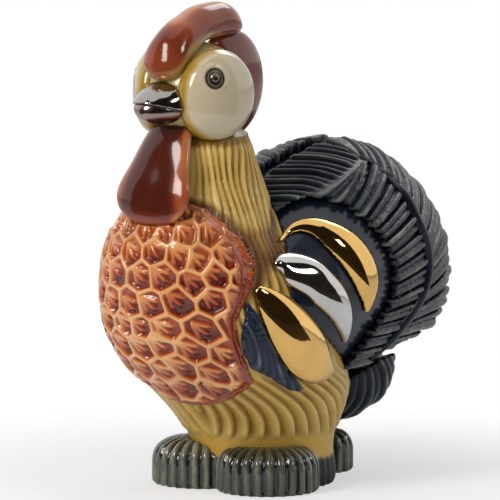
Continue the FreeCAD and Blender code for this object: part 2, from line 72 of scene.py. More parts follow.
# %% [markdown]
# Materials and world are built from nodes. Two small helpers keep that readable: one adds a node with
# its settings, the other tells which kind of ray is asking, because the backdrop should look white
# to the camera and still light the clay gently.

# %% Helpers for nodes
scene.view_settings.view_transform = "Standard"


def node(tree, kind, **settings):
    made = tree.nodes.new(kind)
    for key, value in settings.items():
        setattr(made, key, value)
    return made


def any_ray(tree, *kinds):
    """1 for the named kinds of ray, 0 for the others."""
    path = node(tree, "ShaderNodeLightPath")
    found = path.outputs[kinds[0]]
    for kind in kinds[1:]:
        either = node(tree, "ShaderNodeMath", operation="MAXIMUM")
        tree.links.new(found, either.inputs[0])
        tree.links.new(path.outputs[kind], either.inputs[1])
        found = either.outputs[0]
    return found


print("colours are shown with the", scene.view_settings.view_transform, "view")

# %% [markdown]
# The figure was photographed in a white room. A white world of full strength would wash out its
# colours, and a dimmer one would turn the backdrop grey. So the camera and every mirror see plain
# white, while the clay itself receives a gentler, slightly cool light that fills the shadows.

# %% White surround
world = bpy.data.worlds.new("surround")
scene.world = world
world.use_nodes = True
tree = world.node_tree
tree.nodes.clear()
fill = node(tree, "ShaderNodeBackground")
fill.inputs["Color"].default_value = (0.93, 0.96, 1.0, 1)
fill.inputs["Strength"].default_value = 0.44
clear = node(tree, "ShaderNodeBackground")
clear.inputs["Color"].default_value = (1, 1, 1, 1)
clear.inputs["Strength"].default_value = 1.0
choose = node(tree, "ShaderNodeMixShader")
sky = node(tree, "ShaderNodeOutputWorld")
tree.links.new(any_ray(tree, "Is Camera Ray", "Is Glossy Ray", "Is Transmission Ray"), choose.inputs[0])
tree.links.new(fill.outputs[0], choose.inputs[1])
tree.links.new(clear.outputs[0], choose.inputs[2])
tree.links.new(choose.outputs[0], sky.inputs["Surface"])
print("world", world.name, "fills at", round(fill.inputs["Strength"].default_value, 2))

# %% [markdown]
# Floor and wall are plain sheets of the studio.

# %% Stage sheets
def sheet(name, points, faces):
    """A flat or bent sheet of the studio, with the nodes of its own material."""
    mesh = bpy.data.meshes.new(name)
    mesh.from_pydata(points, [], faces)
    made = bpy.data.objects.new(name, mesh)
    scene.collection.objects.link(made)
    surface = bpy.data.materials.new(name)
    surface.use_nodes = True
    mesh.materials.append(surface)
    return made, surface.node_tree


def matt(tree, colour):
    """Plain paper or cloth: hardly any shine."""
    made = tree.nodes["Principled BSDF"]
    made.inputs["Base Color"].default_value = colour
    made.inputs["Roughness"].default_value = 0.9
    made.inputs["Specular IOR Level"].default_value = 0.1
    return made


floor, tree = sheet("floor", [(-3, -3, 0), (3, -3, 0), (3, 3, 0), (-3, 3, 0)], [(0, 1, 2, 3)])
paper = matt(tree, (0.86, 0.86, 0.87, 1))
print("floor", [round(v, 2) for v in floor.dimensions])

# %% [markdown]
# The bird stands on white paper that shows its soft shadow near the feet and no horizon behind it.
# A curved backdrop would need room behind the bird. Here one flat sheet does it: close by it is matt
# paper, and farther out it passes into plain white light for the camera.

# %% Paper that fades into the backdrop
place = node(tree, "ShaderNodeTexCoord")
far = node(tree, "ShaderNodeVectorMath", operation="LENGTH")
fade = node(tree, "ShaderNodeMapRange", interpolation_type="SMOOTHSTEP")
fade.inputs["From Min"].default_value = 0.035
fade.inputs["From Max"].default_value = 0.11
fade.inputs["To Min"].default_value = 0.5
glow = node(tree, "ShaderNodeEmission")
shown = node(tree, "ShaderNodeMath", operation="MULTIPLY")
join = node(tree, "ShaderNodeMixShader")
tree.links.new(place.outputs["Object"], far.inputs[0])
tree.links.new(far.outputs["Value"], fade.inputs["Value"])
tree.links.new(fade.outputs["Result"], shown.inputs[0])
tree.links.new(any_ray(tree, "Is Camera Ray", "Is Transmission Ray"), shown.inputs[1])
tree.links.new(shown.outputs[0], join.inputs[0])
tree.links.new(paper.outputs[0], join.inputs[1])
tree.links.new(glow.outputs[0], join.inputs[2])
tree.links.new(join.outputs[0], tree.nodes["Material Output"].inputs["Surface"])
print("paper is all white from", round(fade.inputs["From Max"].default_value / MM), "mm outwards")

# %% [markdown]
# Gold and platinum show the room more than themselves, and in a room that is white all round they
# would look like plastic. A dark curved wall stands where the photographer is. Only mirrors see it,
# so it gives the lustre its deep brown reflections without darkening anything else.

# %% Dark wall
ahead = Vector((back.x, back.y, 0)).normalized()
near_paper, far_off, wall_top = 0.17, 0.75, 1.7  # metres
posts, post_turn = 13, 14  # degrees from post to post
wall_points, wall_faces = [], []
for index in range(posts):
    swing = math.radians(post_turn * (index - posts // 2))
    out = ahead * math.cos(swing) + right * math.sin(swing)
    wall_points += [out * near_paper + Vector((0, 0, 0.001)), out * far_off + Vector((0, 0, 0.02)),
                    out * far_off + Vector((0, 0, wall_top))]
    if index:
        last = 3 * index
        wall_faces += [(last - 3, last, last + 1, last - 2), (last - 2, last + 1, last + 2, last - 1)]
wall, tree = sheet("dark_wall", wall_points, wall_faces)
matt(tree, (0.030, 0.024, 0.018, 1))
wall.visible_camera = wall.visible_diffuse = wall.visible_shadow = False
print("wall points", len(wall_points))

# %% [markdown]
# The photograph has one large soft light high on the left, which glints on comb, wattle and feathers.
# Three area lamps stand in for the studio: the window, a weak fill from the right, and a rim lamp
# behind the bird that parts the dark tail from its own shadow.

# %% Lamps
def lamp(name, where, size, power, colour=(1, 1, 1)):
    """A rectangular lamp that looks at the middle of the bird; size in metres, power in watts."""
    data = bpy.data.lights.new(name, "AREA")
    data.shape = "RECTANGLE"
    data.size, data.size_y = size
    data.energy = power
    data.color = colour
    made = bpy.data.objects.new(name, data)
    scene.collection.objects.link(made)
    made.location = where
    made.rotation_mode = "QUATERNION"
    made.rotation_quaternion = (Vector(where) - Vector((0, 0, 0.05))).to_track_quat("Z", "Y")


lamp("window", right * -0.34 + ahead * 0.36 + Vector((0, 0, 0.40)), (0.17, 0.28), 2.2, (1.0, 0.97, 0.92))
lamp("fill", right * 0.5 + ahead * 0.3 + Vector((0, 0, 0.5)), (0.12, 0.12), 0.6)
lamp("rim", right * 0.25 + ahead * -0.5 + Vector((0, 0, 0.55)), (0.3, 0.3), 1.0)

# %% [markdown]
# Carving needs many small, even faces, and the CAD forms have few and long ones. Each form is copied
# and wrapped in an even net of small squares, then smoothed a little, the way a wet sponge softens
# clay before the tools come out. Subdividing would be quicker, but it keeps the long faces.

# %% Copy a clay form
def clay_copy(name, part, grain, passes=4):
    """An even, softened copy of one clay form; grain is its face size in mm."""
    raw = bpy.data.objects.new(name + "_raw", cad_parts[part].data.copy())
    scene.collection.objects.link(raw)
    raw.data.materials.clear()
    net = raw.modifiers.new("net", "REMESH")
    net.mode = "VOXEL"
    net.voxel_size = grain * MM
    net.use_smooth_shade = True
    sponge = raw.modifiers.new("sponge", "SMOOTH")
    sponge.factor = 0.5
    sponge.iterations = passes
    mesh = bpy.data.meshes.new_from_object(raw.evaluated_get(bpy.context.evaluated_depsgraph_get()))
    mesh.name = name
    made = bpy.data.objects.new(name, mesh)
    scene.collection.objects.link(made)
    bpy.data.objects.remove(raw)
    return made


print("faces of the head's form before copying", len(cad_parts["head"].data.polygons))

# %% [markdown]
# A carving tool pushes clay in along the surface's own direction. So each pattern is worked out as a
# depth for every point of the net, in mm, and pressed along the normals in one go. The same pattern is
# kept in the mesh as a layer named relief, because the glaze must know where ridges and grooves are.

# %% Press a pattern in
def points_of(mesh):
    flat = np.zeros(len(mesh.vertices) * 3)
    mesh.vertices.foreach_get("co", flat)
    return flat.reshape(-1, 3) / MM


def normals_of(mesh):
    flat = np.zeros(len(mesh.vertices) * 3)
    mesh.vertex_normals.foreach_get("vector", flat)
    return flat.reshape(-1, 3)


def set_points(made, p):
    made.data.vertices.foreach_set("co", (p * MM).ravel())


def press(made, depth, relief, **layers):
    """Moves each point along its normal by depth in mm, and stores relief and the other layers."""
    mesh = made.data
    depth = np.zeros(len(mesh.vertices)) + depth
    set_points(made, points_of(mesh) + normals_of(mesh) * depth[:, None])
    for key, values in {"relief": relief, **layers}.items():
        layer = mesh.attributes.new(key, "FLOAT", "POINT")
        layer.data.foreach_set("value", np.clip(values, 0, 1).astype(np.float32))
    mesh.update()


print("points of the head's form", len(points_of(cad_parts["head"].data)))

# %% [markdown]
# On the real bird a glaze film covers each form. Here the carved copy takes the form's place in the
# picture: it gets its material and is attached to the root body, and the form itself is hidden.

# %% Dress a form
def dress(made, part, surface):
    """Gives a carved copy its material and its body, and hides the form that it replaces."""
    made.data.materials.append(surface)
    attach(made, "root")
    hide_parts(part)
    print(made.name, "faces", len(made.data.polygons))


print("forms to dress", len(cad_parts))

# %% [markdown]
# Hand carving is never quite even. Three small functions draw all the patterns: a soft step between
# two values, a slow wobble made of a few fixed waves, and ridges that repeat with a phase. The wobble
# is seeded, so that the bird comes out the same every time.

# %% Steps, wobbles and ridges
def smooth(low, high, value):
    t = np.clip((value - low) / (high - low), 0, 1)
    return t * t * (3 - 2 * t)


def wobble(p, scale, seed):
    """A soft random field from a few fixed waves, the same on every run."""
    rng = np.random.default_rng(seed)
    total = np.zeros(len(p))
    for _ in range(6):
        way = rng.normal(size=3)
        total += np.sin(p @ way / scale + rng.uniform(0, 6.28))
    return total / 6


def ridges(phase, sharp=1.0):
    """1 on each ridge and 0 in each groove, once for every whole step of phase."""
    return np.abs(np.sin(np.pi * phase)) ** sharp


print("a groove, a flank and a ridge:", ridges(np.array([0, 0.25, 0.5])).round(2))

# %% [markdown]
# Glazes and lustres need the same few building blocks of nodes: a cloudy pattern that stays with the
# piece, a change of its range, and a ramp of colours.

# %% Building blocks for materials
def material(name):
    made = bpy.data.materials.new(name)
    made.use_nodes = True
    return made, made.node_tree, made.node_tree.nodes["Principled BSDF"]


def clouds(tree, scale, detail):
    """Cloudy values about 0.5; scale is the number of clouds in a metre."""
    where = node(tree, "ShaderNodeTexCoord")
    cloud = node(tree, "ShaderNodeTexNoise")
    cloud.inputs["Scale"].default_value = scale
    cloud.inputs["Detail"].default_value = detail
    tree.links.new(where.outputs["Object"], cloud.inputs["Vector"])
    return cloud.outputs["Fac"]


def times_plus(tree, value, times, plus):
    done = node(tree, "ShaderNodeMath", operation="MULTIPLY_ADD")
    done.inputs[1].default_value = times
    done.inputs[2].default_value = plus
    tree.links.new(value, done.inputs[0])
    return done.outputs[0]


def ramp(tree, value, stops):
    """Colours by value; stops holds a place from 0 to 1 and a colour for each step."""
    made = node(tree, "ShaderNodeValToRGB")
    tree.links.new(value, made.inputs["Fac"])
    while len(made.color_ramp.elements) < len(stops):
        made.color_ramp.elements.new(0.5)
    for element, (place, colour) in zip(made.color_ramp.elements, stops):
        element.position = place
        element.color = (*colour, 1)
    return made.outputs["Color"]


print("materials so far", [m.name for m in bpy.data.materials])

# %% [markdown]
# A glaze is dark where it pools in grooves and light where it breaks over ridges. A painted image
# could show that, but it would have to be painted again for every change of shape. This recipe reads
# the pressed relief instead, adds a little mottling, and picks the colour on a ramp. Extra layers
# blend in where another glaze runs over the first, and a clear coat gives the glassy shine.

# %% Glaze recipe
def glaze(name, stops, rough=0.3, coat=0.7, mottle=0.16, bump=0.06, runs=(), gleam=0.5):
    made, tree, shader = material(name)
    relief = node(tree, "ShaderNodeAttribute", attribute_name="relief")
    total = node(tree, "ShaderNodeMath", operation="ADD")
    tree.links.new(relief.outputs["Fac"], total.inputs[0])
    tree.links.new(times_plus(tree, clouds(tree, 300, 4), mottle * 2, -mottle), total.inputs[1])
    colour = ramp(tree, total.outputs[0], stops)
    for layer, run_colour in runs:
        mark = node(tree, "ShaderNodeAttribute", attribute_name=layer)
        blend = node(tree, "ShaderNodeMix", data_type="RGBA")
        tree.links.new(mark.outputs["Fac"], blend.inputs["Factor"])
        tree.links.new(colour, blend.inputs["A"])
        blend.inputs["B"].default_value = (*run_colour, 1)
        colour = blend.outputs["Result"]
    tree.links.new(colour, shader.inputs["Base Color"])
    specks = node(tree, "ShaderNodeBump")
    specks.inputs["Strength"].default_value = bump
    specks.inputs["Distance"].default_value = 0.3 * MM
    tree.links.new(clouds(tree, 1800, 3), specks.inputs["Height"])
    tree.links.new(specks.outputs["Normal"], shader.inputs["Normal"])
    shader.inputs["Roughness"].default_value = rough
    shader.inputs["Specular IOR Level"].default_value = gleam
    shader.inputs["Coat Weight"].default_value = coat
    shader.inputs["Coat Roughness"].default_value = 0.06
    return made


# Two of the runs are painted shade: green-black on the foot of the body between the feet, and red-brown
# in the cut beside the breast panel.
ochre = glaze("ochre_glaze", [(0.0, (0.19, 0.100, 0.012)), (0.35, (0.39, 0.225, 0.040)),
                              (0.7, (0.60, 0.40, 0.105)), (1.0, (0.74, 0.56, 0.22))],
              rough=0.38, coat=0.2, mottle=0.14, bump=0.12, gleam=0.25,
              runs=[("amber", (0.60, 0.36, 0.055)), ("foot_run", (0.020, 0.026, 0.026)),
                    ("gash", (0.12, 0.038, 0.010))])
print("first glaze", ochre.name, "with", len(ochre.node_tree.nodes), "nodes")

# %% [markdown]
# Lustre is a film of real metal, fired on last. It hides the glaze below it, so it reads no relief.
# It is a near mirror, and only its polish varies a little, in faint clouds like brush marks.

# %% Lustre recipe
def lustre(name, colour, rough, streak):
    made, tree, shader = material(name)
    cloud = clouds(tree, 160, 3)
    tree.links.new(times_plus(tree, cloud, streak, rough), shader.inputs["Roughness"])
    dimmer = tuple(c * 0.86 for c in colour)
    tree.links.new(ramp(tree, cloud, [(0.3, dimmer), (0.7, colour)]), shader.inputs["Base Color"])
    shader.inputs["Metallic"].default_value = 1.0
    return made


platinum = lustre("platinum_lustre", (0.62, 0.61, 0.59), 0.04, 0.06)
gold = lustre("gold_lustre", (0.84, 0.52, 0.17), 0.035, 0.05)
print("films", platinum.name, gold.name)

# %% [markdown]
# The body is a round form that leans forward as it rises, so carving on it is planned by angle and
# height, as on a potter's wheel. A table gives the middle line and the radius at some heights, and
# everything between follows by straight steps. The panel of the breast is bounded by a path.

# %% Measure round the body
# height, middle line and radius, all in mm
TURNS = np.array([(0, 0.5, 14.2), (10.5, -0.3, 15.1), (19, -3.2, 19.3), (28, -10.2, 22.1),
                  (37, -15.1, 22), (46, -18.8, 19.7), (54, -20.4, 16.8), (60, -19.4, 13.6),
                  (67, -18.9, 11), (74, -19, 9.6)])
# distance from the middle plane, and height
PANEL_EDGE = np.array([(0, 18.4), (5.2, 18.8), (9.7, 20.4), (13.6, 22.6), (15.8, 24.4), (16.7, 28.7),
                       (17, 34), (17.2, 38), (18.3, 41.5), (18.7, 45), (18.1, 49.3), (15.7, 54.2),
                       (12.8, 57.5), (9.4, 60.2), (5, 61.6), (0, 62.2)])


def middle_line(p):
    return np.interp(p[:, 2], TURNS[:, 0], TURNS[:, 1])


def round_body(p):
    """Each point's angle from the front in degrees, and its distance from the body's middle line."""
    line = middle_line(p)
    return np.degrees(np.arctan2(np.abs(p[:, 0]), line - p[:, 1])), np.hypot(p[:, 0], p[:, 1] - line)


def from_path(points, path):
    """Distance from each flat point to an open path."""
    nearest = np.full(len(points), 1e9)
    for a, b in zip(path[:-1], path[1:]):
        share = np.clip((points - a) @ (b - a) / ((b - a) @ (b - a)), 0, 1)
        nearest = np.minimum(nearest, np.linalg.norm(points - a - share[:, None] * (b - a), axis=1))
    return nearest


print("widest radius of the body in mm", TURNS[:, 2].max())

# %% [markdown]
# Long wavy strands of hackle feather run down the neck. On the real bird they are drawn with a loop
# tool. The strands follow the angle round the neck, so they fan out by themselves as the body widens.
# Sway and wobble bend them, and some grooves fade on their way, as they do under a hand.

# %% Neck strands
body = clay_copy("carved_body", "body_shell", 0.36)
p = points_of(body.data)
height = p[:, 2]
angle, reach = round_body(p)
strand_turn, strand_cut = 7.6, 0.85  # degrees from strand to strand, mm deep
sway = 0.5 * np.sin(height / 4.4 + angle / 13)
lean = 1.2 * np.clip((62 - height) / 30, 0, 1)
strand = angle / strand_turn + sway + 0.95 * wobble(p, 4, 41) + lean
fading = np.clip(0.85 + 0.6 * wobble(p, 2.4, 77), 0.25, 1.1)
own_height = 0.88 + 0.12 * np.sin(2.4 * np.floor(strand))
neck_ridge = (1 - (1 - ridges(strand, 0.8)) * fading) * own_height
neck_part = smooth(30, 40, height) * (1 - smooth(72.0, 74.0, height)) * smooth(26, 40, angle)
print("strands from throat to nape", round(180 / strand_turn))

# %% [markdown]
# Round the belly the feathers become wide folds, bowed like shells. Each fold rises slowly and drops
# at once, so a plain wave would look too even: here the phase itself is the slope, with a short drop.

# %% Belly folds
radius = np.interp(height, TURNS[:, 0], TURNS[:, 2])
fold_pitch, fold_cut = 3.3, 1.35  # mm from fold to fold, mm deep
bow = 3.6 * (1 - ((height - 17) / 8.0) ** 2).clip(0)  # mm, widest at height 17
arc = np.radians(angle) * radius - bow
fold = (arc / fold_pitch + 0.34 * wobble(p, 5, 31)) % 1.0
belly_ridge = fold ** 0.8 * (1 - smooth(0.84, 1.0, fold))
belly_part = smooth(10.5, 12.5, height) * (1 - smooth(22.5, 27, height))
outside = smooth(-2.6, -1.6, reach - radius)
depth = outside * (neck_part * (neck_ridge - 0.62) * strand_cut
                   + belly_part * (belly_ridge - 0.45) * fold_cut)
tone = 0.85  # how much of the ramp the carving uses
relief = 0.55 + outside * (neck_part * (neck_ridge - 0.72) * tone
                           + belly_part * (belly_ridge - 0.5) * tone)
print("carving of the body from", depth.min().round(2), "to", depth.max().round(2), "mm")

# %% [markdown]
# The breast panel is laid on later, so the body is pressed in a little under it: otherwise the body
# would show through the pockets. A cut runs along the panel's upper edge, and it is painted deep
# red-brown as painted shade where the neck strands end at the panel.

# %% Bed, cut and painted shade for the panel
panel_side = np.interp(height, PANEL_EDGE[:, 1], PANEL_EDGE[:, 0], left=0, right=0)
under_panel = smooth(0.0, 1.2, panel_side - np.abs(p[:, 0])) * (angle < 90)
beside_panel = 1 - smooth(0.3, 1.2, from_path(np.abs(p[:, ::2]), PANEL_EDGE))
# The cut beside the panel's upper edge also carries a red-brown painted shade.
gash = beside_panel * smooth(38, 45, height) * (p[:, 1] < -8)
depth = depth * (1 - under_panel) - 0.7 * under_panel * outside
depth -= 0.5 * smooth(70.5, 73.6, height) + 0.5 * gash
# Under the panel the body takes the darkest ochre: painted shade beneath the panel.
relief = relief * (1 - under_panel)
print("points under the panel", int((under_panel > 0.5).sum()))

# %% [markdown]
# Amber glaze has run down to a smooth band above the feet. Below it the foot of the body is painted
# the green-black of the feet as painted shade between the feet, with rolls like theirs. Both are layers
# over the ochre, with edges that wobble as a brush stroke does.

# %% Runs of glaze, painted shade, and the carving pressed in
amber = 1 - smooth(9.6, 11.4, height + 0.8 * wobble(p, 5, 7))
# Below about 6 mm the body is painted green-black: painted shade between the feet.
foot_run = 1 - smooth(5.4, 6.6, height + 0.5 * wobble(p, 3, 23))
depth += 0.5 * foot_run * outside * (ridges(angle / 9.5) - 0.6)
# The top band of the neck, just under the head, is painted darker: painted shade.
relief += 0.12 * wobble(p, 3.0, 4) - 0.55 * smooth(71.5, 73.2, height)
press(body, depth, relief, amber=0.8 * amber, foot_run=foot_run, gash=0.9 * gash)
print("points in the amber band", int((amber * (1 - foot_run) > 0.5).sum()))

# %% [markdown]
# The head rests on the neck, and a thrown neck is drawn up towards it. The flat top of the form is
# raised in a cone, so that no dark slit is left under the cheeks.

# %% Neck top
p = points_of(body.data)
neck_middle, neck_radius, steepness = -19, 9.4, 0.95
reach = np.hypot(p[:, 0], p[:, 1] - neck_middle)
lift = steepness * (neck_radius - reach).clip(0, 4.5) * smooth(73.0, 73.8, p[:, 2])
p[:, 2] += lift
set_points(body, p)
dress(body, "body_shell", ochre)
print("neck top raised by up to", lift.max().round(1), "mm")

# %% [markdown]
# The breast is a raised panel of red clay cut into rounded pockets like overlapping scales. A regular
# grid of pockets would look stamped. Rows of points, each nudged at random with a fixed seed, give
# every place of the panel to its nearest point, and the borders between them become thin pale rims.

# %% Pockets of the breast
breast = clay_copy("scaled_breast", "breast_panel", 0.3, 3)
p = points_of(breast.data)
angle, reach = round_body(p)
panel_radius = 21  # mm, for rolling the panel out flat
spread = np.stack([np.sign(p[:, 0]) * np.radians(angle) * panel_radius, p[:, 2]], 1)


def scale_centres(pitch, seed):
    """Staggered rows of points, each nudged as a hand would."""
    rng = np.random.default_rng(seed)
    spots = []
    for row in range(-1, 13):
        for column in range(-8, 9):
            x = (column + 0.5 * (row % 2)) * pitch
            spots.append((x + rng.uniform(-1.2, 1.2), 17 + row * pitch * 0.84 + rng.uniform(-1.1, 1.1)))
    return np.array(spots)


spots = scale_centres(5.8, 12)
gap = np.sqrt(((spread[:, None, :] - spots[None]) ** 2).sum(2))
order = np.argsort(gap, axis=1)[:, :2]
nearest = np.take_along_axis(gap, order, 1)
from_edge = from_path(np.abs(p[:, ::2]), PANEL_EDGE)
inside = smooth(0.15, 1.1, from_edge)
pocket = smooth(0.3, 1.7, nearest[:, 1] - nearest[:, 0]) * inside
print("pockets on the panel", len(np.unique(order[:, 0])))

# %% [markdown]
# In each pocket three tongues of clay are left standing, spread like the toes of a small foot. They
# start high on one side of the pocket, so its lower side stays deep and holds the red glaze.

# %% Tongues in the pockets
root = np.array([-1.8, 1.7])  # mm from the middle of a pocket
local = spread - spots[order[:, 0]] - root
from_root = np.hypot(local[:, 0], local[:, 1])
bearing = np.degrees(np.arctan2(local[:, 1], local[:, 0]))
tongue = np.zeros(len(p))
for stroke in (-15, -48, -80):
    tongue = np.maximum(tongue, 1 - smooth(0.25, 0.75, np.abs(bearing - stroke) * from_root / 57))
tongue *= 1 - smooth(2.8, 4.4, from_root)
low_side = np.clip(0.5 - (local[:, 1] + root[1]) / 4.8, 0, 1)
print("share of the panel that is tongue", (tongue * pocket > 0.5).mean().round(2))

# %% [markdown]
# Only the panel's outer face is cut; its narrow side wall stays plain and is painted a flat dark red,
# as painted shade along the panel's edge. The red glaze is nearly black where it lies deep and runs to
# pale orange on the rims, and it is warmer towards the throat. Each pocket is a little lighter or darker
# than the next, because no two hold the same glaze.

# %% Breast scales
red_scales = glaze("scale_glaze", [(0.0, (0.09, 0.007, 0.003)), (0.3, (0.24, 0.026, 0.006)),
                                   (0.6, (0.43, 0.075, 0.014)), (0.84, (0.62, 0.22, 0.060)),
                                   (1.0, (0.74, 0.40, 0.15))],
                   rough=0.24, coat=0.6, mottle=0.08, bump=0.04, runs=[("warm", (0.50, 0.15, 0.03))])
way = normals_of(breast.data)
outward = way[:, 1] * -np.cos(np.radians(angle)) + np.abs(way[:, 0]) * np.sin(np.radians(angle))
outer_face = smooth(0.1, 0.5, outward)
pocket_cut, low_cut, tongue_rise, swell, edge_round = 0.7, 0.62, 0.85, 0.25, 0.6  # mm
depth = (swell * inside - edge_round * (1 - smooth(0.0, 1.1, from_edge))
         - pocket * (pocket_cut + low_cut * low_side) + tongue * pocket * tongue_rise)
pocket_tone = np.random.default_rng(5).uniform(-0.14, 0.14, len(spots))[order[:, 0]]
relief = (0.35 + 0.63 * inside + pocket_tone * pocket - pocket * (0.55 + 0.43 * low_side)
          + tongue * pocket * 0.5 + 0.08 * wobble(p, 2.0, 3))
# The side wall gets one flat, darker relief: painted shade along the panel's edge.
relief = relief * outer_face + 0.42 * (1 - outer_face)
press(breast, depth * outer_face, relief, warm=0.55 * smooth(47, 58, p[:, 2] + 2 * wobble(p, 4, 8)))
dress(breast, "breast_panel", red_scales)

# %% [markdown]
# The head is a plain ball of ochre under two large pearl discs. It has no carving, so a slow wobble
# of the glaze's own thickness is all that it needs.

# %% Head
head_ochre = glaze("head_glaze", [(0.0, (0.22, 0.13, 0.03)), (0.5, (0.42, 0.31, 0.12)),
                                  (1.0, (0.56, 0.46, 0.26))], rough=0.3, coat=0.7, mottle=0.2)
skull = clay_copy("head_clay", "head", 0.5)
press(skull, 0, 0.45 + 0.25 * wobble(points_of(skull.data), 4, 3))
dress(skull, "head", head_ochre)

# %% [markdown]
# Everything about an eye is round, so the easiest measure for it is the distance from the line that
# looks straight out of it. One function gives that distance for both sides of the head at once.

# %% Measure round the eye
HEAD = np.array([0, -21.8, 82.5])
eye_turn, eye_reach, eye_lift = math.radians(30), 10.7, 4.0
eye_line = np.array([math.cos(eye_turn), -math.sin(eye_turn), 0])
eye_spot = HEAD + eye_reach * eye_line + (0, 0, eye_lift)


def from_eye(p):
    """Distance in mm from the line that looks straight out of the nearer eye."""
    away = np.stack([np.abs(p[:, 0]), p[:, 1], p[:, 2]], 1) - eye_spot
    return np.linalg.norm(away - np.outer(away @ eye_line, eye_line), axis=1)


print("left eye in mm", eye_spot.round(1))

# %% [markdown]
# Each cheek is a disc of pearl glaze that ends in a soft yellow groove. The relief layer that darkens
# a groove paints that yellow edge. A low lid is raised round the eye, and the dark glaze that fills
# the eye's outer rings is a layer of its own, as it is brushed into them on the real bird.

# %% Cheeks
pearl = glaze("cream_glaze", [(0.0, (0.34, 0.20, 0.02)), (0.45, (0.44, 0.31, 0.09)),
                              (0.75, (0.48, 0.38, 0.22)), (1.0, (0.51, 0.42, 0.28))],
              rough=0.2, coat=0.8, mottle=0.06, bump=0.02,
              runs=[("ring", (0.010, 0.008, 0.007)), ("iris", (0.115, 0.093, 0.053))])
cheek_turn, cheek_long, cheek_tall = math.radians(15), 9.2, 9.7
for side in ("left", "right"):
    disc = clay_copy(side + "_cheek_pearl", side + "_cheek", 0.25)
    p = points_of(disc.data)
    q, far = p - HEAD, from_eye(p)
    sideways = np.abs(q[:, 0]) * math.sin(cheek_turn) + q[:, 1] * math.cos(cheek_turn)
    reach = np.sqrt((sideways / cheek_long) ** 2 + (q[:, 2] / cheek_tall) ** 2)
    lid = np.exp(-((far - 2.6) / 0.35) ** 2)
    press(disc, 0.16 * lid - 0.25 * smooth(0.86, 0.97, reach),
          1 - smooth(0.88, 0.99, reach) + 0.06 * wobble(p, 3, 5),
          ring=1 - smooth(2.05, 2.3, far), iris=smooth(1.22, 1.34, far) * (1 - smooth(1.66, 1.80, far)))
    dress(disc, side + "_cheek", pearl)

# %% [markdown]
# The eye itself is pressed with a round tool and filled with dark glaze. Its rings need no painting:
# the distance from the eye's line is stored as its relief, and one ramp turns it into ring after
# ring. The eye lies a little deeper than the cheek, as it does where a tool has pressed it in.

# %% Eyes
dark_eye, brown_eye, olive_eye = (0.010, 0.008, 0.006), (0.110, 0.070, 0.030), (0.120, 0.098, 0.056)
ringed = glaze("eye_glaze", [(0.0, (0.006, 0.004, 0.003)), (0.15, (0.012, 0.007, 0.004)),
                             (0.22, (0.085, 0.050, 0.020)), (0.42, brown_eye), (0.47, dark_eye),
                             (0.53, olive_eye), (0.70, (0.110, 0.090, 0.052)),
                             (0.77, (0.008, 0.007, 0.006)), (1.0, (0.012, 0.010, 0.008))],
               rough=0.08, coat=1.0, mottle=0.01, bump=0.0)
rim_radius, sunk = 2.35, 0.45  # mm
for side in ("left", "right"):
    for kind, slot, grain in (("eye_rim", "eye_rim_glaze", 0.09), ("eye_ball", "eye_glaze", 0.07)):
        part = side + "_" + kind
        made = clay_copy(part + "_glazed", part, grain, 2)
        p = points_of(made.data)
        far = from_eye(p) / rim_radius
        groove = 0.16 * np.exp(-((far - 0.62) / 0.06) ** 2)
        press(made, -groove if kind == "eye_rim" else 0, far)
        sink = np.outer(np.ones(len(p)), eye_line) * sunk
        sink[:, 0] *= np.sign(p[:, 0])
        set_points(made, points_of(made.data) - sink)
        dress(made, part, ringed)

# %% [markdown]
# The beak is two soft lumps of clay under platinum. Mirror films need a calm surface, so the copies
# are smoothed more and not carved at all. Its platinum is painted darker than the feathers', as painted
# shade, and the lower half is duller and tinted browner, as a painted reflection of the floor below it.

# %% Beak
# Both beak films are darker than the feathers' platinum as painted shade; the lower one is also tinted
# brown as a painted reflection of the floor.
dark_platinum = lustre("beak_lustre", (0.42, 0.39, 0.36), 0.07, 0.10)
dull_platinum = lustre("beak_lower_glaze", (0.36, 0.28, 0.26), 0.16, 0.12)


def film_over(part, film, grain, passes):
    """A smooth copy of one clay form under a metal film."""
    dress(clay_copy(part + "_film", part, grain, passes), part, film)


film_over("upper_beak", dark_platinum, 0.25, 6)
film_over("lower_beak", dull_platinum, 0.25, 6)

# %% [markdown]
# The comb's front lobe sits on the forehead like a thick drop of chestnut glaze. Its foot is made
# wider and is set back a little on the copy, and its surface has slow dents. At the foot the red runs
# thin over the ochre of the head: the distance from the head's middle tells how near that is.

# %% Front lobe of the comb
chestnut = glaze("red_glaze", [(0.0, (0.050, 0.009, 0.005)), (0.45, (0.125, 0.019, 0.008)),
                               (0.75, (0.27, 0.055, 0.019)), (1.0, (0.50, 0.19, 0.065))],
                 rough=0.16, coat=0.5, mottle=0.07, bump=0.015, gleam=0.25,
                 runs=[("drip", (0.42, 0.24, 0.05))])
comb = clay_copy("front_comb_glazed", "front_comb", 0.3, 6)
p = points_of(comb.data)
foot_of_comb = 1 - smooth(90, 97, p[:, 2])
p[:, 0] *= 1 + 0.38 * foot_of_comb
p[:, 1] += 2.0 * foot_of_comb
set_points(comb, p)
dent = wobble(p, 3.2, 9)
crest = smooth(0.4, 1, 1 - np.abs(p[:, 0]) / 4) * smooth(95, 99, p[:, 2])
drip = 1 - smooth(12.2, 13.6, np.linalg.norm(p - HEAD, axis=1) + 0.5 * dent)
press(comb, 0.35 * dent, 0.62 + 0.3 * dent + 0.35 * crest, drip=0.8 * drip)
dress(comb, "front_comb", chestnut)

# %% [markdown]
# The rear lobe is a rounded fin. Its glaze is palest along the ridge, where it has run off to both
# sides, so the relief layer simply grows towards the bird's middle plane.

# %% Rear lobe of the comb
fin = clay_copy("rear_comb_glazed", "rear_comb", 0.35, 6)
p = points_of(fin.data)
ridge_line = smooth(0.55, 1.0, 1 - np.abs(p[:, 0]) / 3)
press(fin, 0.15 * wobble(p, 3, 2), 0.52 + 0.4 * ridge_line + 0.1 * wobble(p, 3, 8))
dress(fin, "rear_comb", chestnut)
